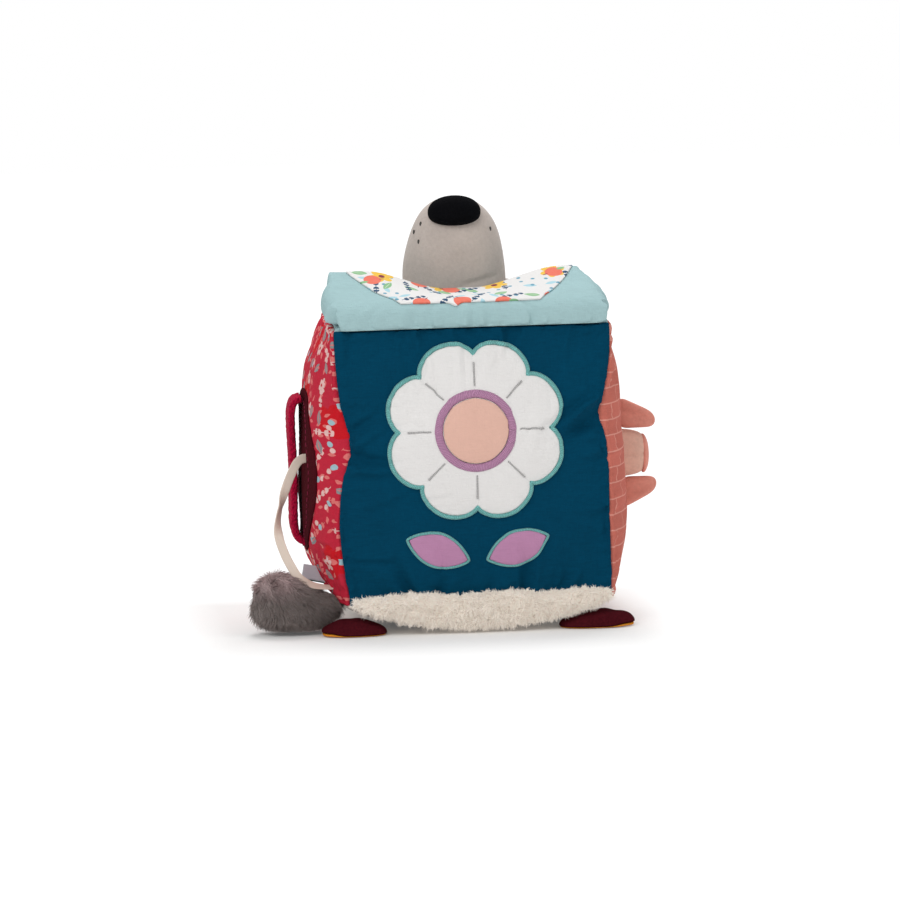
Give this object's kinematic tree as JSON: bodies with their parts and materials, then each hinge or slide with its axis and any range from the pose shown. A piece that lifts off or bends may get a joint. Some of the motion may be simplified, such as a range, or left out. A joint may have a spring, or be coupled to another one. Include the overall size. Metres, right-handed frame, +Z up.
{
  "type": "soft fabric block",
  "caption": "Soft padded activity cube for a baby, with a hinged quilt, plush muzzle, hand strap, ribbon, tail, feet and a plush stub with bendy ears.",
  "frame": {"origin": "middle of the flat underside that the block stands on", "axes": "+Z up, the front panel with the flower faces -Y, the hand strap is on -X and the piglet on +X"},
  "size_m": [0.2797, 0.1975, 0.2795],
  "materials": {
    "foam": "soft foam",
    "petrol_cotton": "plain woven cotton, padded",
    "red_print_cotton": "printed cotton, padded",
    "coral_brick_cotton": "printed cotton, padded",
    "aqua_cotton": "soft muslin, padded",
    "sherpa_fleece": "curly fleece",
    "white_cotton": "plain cotton",
    "teal_thread": "satin stitch",
    "peach_cotton": "plain cotton",
    "mauve_cotton": "plain cotton",
    "white_print_cotton": "printed muslin",
    "grey_plush": "short plush",
    "black_velour": "velour",
    "crimson_terry": "terry",
    "burgundy_felt": "felt",
    "cream_satin": "satin ribbon",
    "tag_grey": "woven tape",
    "tag_green": "woven tape",
    "tail_fur": "long pile fur",
    "orange_felt": "felt",
    "piglet_plush": "short plush",
    "coral_plush": "short plush"
  },
  "bodies": {
    "block": {"foam_core": "foam", "front_panel": "petrol_cotton", "back_panel": "petrol_cotton", "left_panel": "red_print_cotton", "right_panel": "coral_brick_cotton", "top_panel": "aqua_cotton", "base_panel": "sherpa_fleece", "sherpa_trim": "sherpa_fleece", "flower_petals": "white_cotton", "flower_edging": "teal_thread", "flower_centre": "peach_cotton", "flower_ring": "mauve_cotton", "leaf_left": "mauve_cotton", "leaf_right": "mauve_cotton", "head_pad": "grey_plush", "muzzle": "grey_plush", "nose": "black_velour", "hand_strap": "crimson_terry", "strap_backing": "burgundy_felt", "ribbon": "cream_satin", "light_tag": "tag_grey", "dark_tag": "tag_green", "piglet_head": "piglet_plush", "piglet_snout": "coral_plush"},
    "quilt": {"quilt": "aqua_cotton", "quilt_print": "white_print_cotton"},
    "tail": {"tail": "tail_fur"},
    "left_foot": {"foot_left": "burgundy_felt", "sole_left": "orange_felt"},
    "right_foot": {"foot_right": "burgundy_felt", "sole_right": "orange_felt"},
    "upper_ear": {"ear_upper": "coral_plush"},
    "lower_ear": {"ear_lower": "coral_plush"}
  },
  "joints": [
    {"name": "quilt_flip", "type": "hinge", "parent": "block", "child": "quilt", "pos_m": [0, -0.09065, 0.203], "axis": [1, 0, 0], "range_deg": [0, 140]},
    {"name": "tail_swing", "type": "hinge", "parent": "block", "child": "tail", "pos_m": [-0.09881, -0.064, 0.024], "axis": [0, 0, -1], "range_deg": [0, 20]},
    {"name": "left_foot_swing", "type": "hinge", "parent": "block", "child": "left_foot", "pos_m": [-0.0565, -0.082, 0.003], "axis": [0, 0, 1], "range_deg": [0, 25]},
    {"name": "right_foot_swing", "type": "hinge", "parent": "block", "child": "right_foot", "pos_m": [0.0565, -0.082, 0.003], "axis": [0, 0, -1], "range_deg": [0, 25]},
    {"name": "upper_ear_bend", "type": "hinge", "parent": "block", "child": "upper_ear", "pos_m": [0.10626, 0, 0.1326], "axis": [0, 0, 1], "range_deg": [-30, 30], "stiffness_Nm_per_rad": 0.001},
    {"name": "lower_ear_bend", "type": "hinge", "parent": "block", "child": "lower_ear", "pos_m": [0.10626, 0, 0.0774], "axis": [0, 0, 1], "range_deg": [-30, 30], "stiffness_Nm_per_rad": 0.001}
  ]
}
